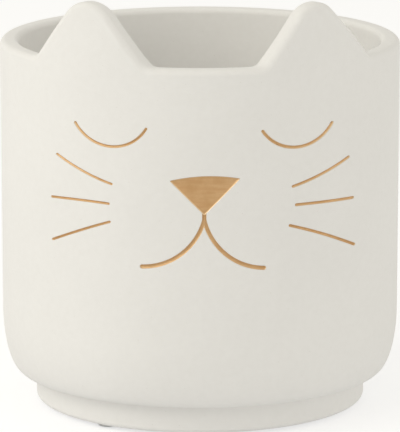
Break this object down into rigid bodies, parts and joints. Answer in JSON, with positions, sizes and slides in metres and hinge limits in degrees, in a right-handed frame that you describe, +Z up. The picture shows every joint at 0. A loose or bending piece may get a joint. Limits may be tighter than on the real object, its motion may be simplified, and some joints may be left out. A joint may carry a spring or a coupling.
{
  "type": "cat-faced plant pot cover",
  "caption": "Round ceramic cover pot on a recessed foot, with two cat ears standing up from the front of its rim and a sleeping cat face engraved and laid in with gold.",
  "frame": {"origin": "on the table, under the middle of the pot: the plane that the bumpers stand on, on the axis of the well", "axes": "+Z up along the axis of the pot, -Y forwards, where the face looks, +X towards the right ear as seen from the front"},
  "size_m": [0.14, 0.14, 0.1507],
  "materials": {
    "matte_ceramic": "matte off-white, fine and slightly chalky",
    "gold_paint": "matte gold paint laid into the engraving",
    "clear_silicone": "clear, soft, self-adhesive"
  },
  "bodies": {
    "root": {"pot": "matte_ceramic", "nose_gold": "gold_paint", "mouth_gold": "gold_paint", "left_eye_gold": "gold_paint", "right_eye_gold": "gold_paint", "left_upper_whisker_gold": "gold_paint", "left_middle_whisker_gold": "gold_paint", "left_lower_whisker_gold": "gold_paint", "right_upper_whisker_gold": "gold_paint", "right_middle_whisker_gold": "gold_paint", "right_lower_whisker_gold": "gold_paint", "bumper_pad_1": "clear_silicone", "bumper_pad_2": "clear_silicone", "bumper_pad_3": "clear_silicone"}
  },
  "joints": []
}
